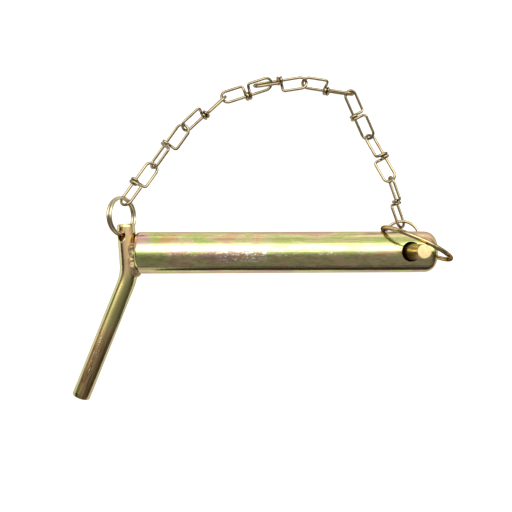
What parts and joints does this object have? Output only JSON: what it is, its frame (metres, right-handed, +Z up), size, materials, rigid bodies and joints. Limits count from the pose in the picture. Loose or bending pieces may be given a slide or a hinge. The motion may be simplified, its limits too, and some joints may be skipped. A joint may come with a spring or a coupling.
{
  "type": "top link pin",
  "caption": "Bent-handle hitch pin with a knotted double-loop retaining chain on split rings and a ring-type linch pin through its cross hole.",
  "frame": {"origin": "bottom centre of the object's box, on the surface it lies on", "axes": "+X along the pin towards its nose as it lies, +Y level towards the chain's arch, +Z up"},
  "size_m": [0.232, 0.2022, 0.0581],
  "materials": {
    "yellow_zinc": "bright iridescent yellow zinc passivate",
    "dull_yellow_zinc": "duller yellow zinc passivate",
    "golden_zinc": "golden zinc passivate on drawn wire",
    "pale_chain_zinc": "pale zinc passivate on drawn wire"
  },
  "bodies": {
    "pin": {"pin_shaft": "yellow_zinc", "handle_bar": "yellow_zinc", "weld_bead": "dull_yellow_zinc", "linch_pin": "dull_yellow_zinc"},
    "handle_ring": {"handle_split_ring": "pale_chain_zinc"},
    "chain_ring": {"linch_split_ring": "pale_chain_zinc"},
    "sprung_ring": {"linch_ring": "golden_zinc"},
    "link_1": {"chain_link_1": "pale_chain_zinc"},
    "link_2": {"chain_link_2": "pale_chain_zinc"},
    "link_3": {"chain_link_3": "pale_chain_zinc"},
    "link_4": {"chain_link_4": "pale_chain_zinc"},
    "link_5": {"chain_link_5": "pale_chain_zinc"},
    "link_6": {"chain_link_6": "pale_chain_zinc"},
    "link_7": {"chain_link_7": "pale_chain_zinc"},
    "link_8": {"chain_link_8": "pale_chain_zinc"},
    "link_9": {"chain_link_9": "pale_chain_zinc"}
  },
  "joints": [
    {"name": "handle_ring_slide_round", "type": "hinge", "parent": "pin", "child": "handle_ring", "pos_m": [-0.08517, 0.01052, 0.01622], "axis": [0.8198, 0, 0.5727], "continuous": true},
    {"name": "chain_ring_slide_round", "type": "hinge", "parent": "pin", "child": "chain_ring", "pos_m": [0.09223, -0.00262, 0.00599], "axis": [-0.3622, 0.0157, 0.932], "continuous": true},
    {"name": "sprung_ring_flip", "type": "hinge", "parent": "pin", "child": "sprung_ring", "pos_m": [0.09564, -0.00635, 0.00483], "axis": [-0.8961, 0.4415, -0.046], "range_deg": [0, 60], "stiffness_Nm_per_rad": 0.02, "springref_deg": -28.65},
    {"name": "link_1_swing", "type": "hinge", "parent": "pin", "child": "link_1", "pos_m": [-0.08385, 0.0186, 0.01432], "axis": [0, 0, 1], "range_deg": [-5, 7]},
    {"name": "link_2_swing", "type": "hinge", "parent": "link_1", "child": "link_2", "pos_m": [-0.0669, 0.04264, 0.00485], "axis": [0, 0, 1], "range_deg": [-12, 8]},
    {"name": "link_3_swing", "type": "hinge", "parent": "link_2", "child": "link_3", "pos_m": [-0.0474, 0.06656, 0.00635], "axis": [0, 0, 1], "range_deg": [-4, 6]},
    {"name": "link_4_swing", "type": "hinge", "parent": "link_3", "child": "link_4", "pos_m": [-0.02299, 0.08551, 0.00639], "axis": [0, 0, 1], "range_deg": [-6, 4]},
    {"name": "link_5_swing", "type": "hinge", "parent": "link_4", "child": "link_5", "pos_m": [0.00187, 0.09506, 0.00551], "axis": [0, 0, 1], "range_deg": [-8, 12]},
    {"name": "link_6_swing", "type": "hinge", "parent": "link_5", "child": "link_6", "pos_m": [0.02844, 0.09673, 0.00651], "axis": [0, 0, 1], "range_deg": [-7, 5]},
    {"name": "link_7_swing", "type": "hinge", "parent": "link_6", "child": "link_7", "pos_m": [0.05817, 0.09057, 0.00623], "axis": [0, 0, 1], "range_deg": [-6, 6]},
    {"name": "link_8_swing", "type": "hinge", "parent": "link_7", "child": "link_8", "pos_m": [0.07156, 0.06347, 0.00337], "axis": [0, 0, 1], "range_deg": [-12, 12]},
    {"name": "link_9_swing", "type": "hinge", "parent": "link_8", "child": "link_9", "pos_m": [0.08494, 0.03579, 0.00646], "axis": [0, 0, 1], "range_deg": [-7, 7]}
  ],
  "couplings": [
    {"joint": "link_1_swing", "follows": "link_2_swing", "ratio": -0.5078},
    {"joint": "link_3_swing", "follows": "link_2_swing", "ratio": -0.4993},
    {"joint": "link_4_swing", "follows": "link_5_swing", "ratio": -0.4678},
    {"joint": "link_6_swing", "follows": "link_5_swing", "ratio": -0.5715},
    {"joint": "link_7_swing", "follows": "link_8_swing", "ratio": -0.494},
    {"joint": "link_9_swing", "follows": "link_8_swing", "ratio": -0.5267}
  ]
}
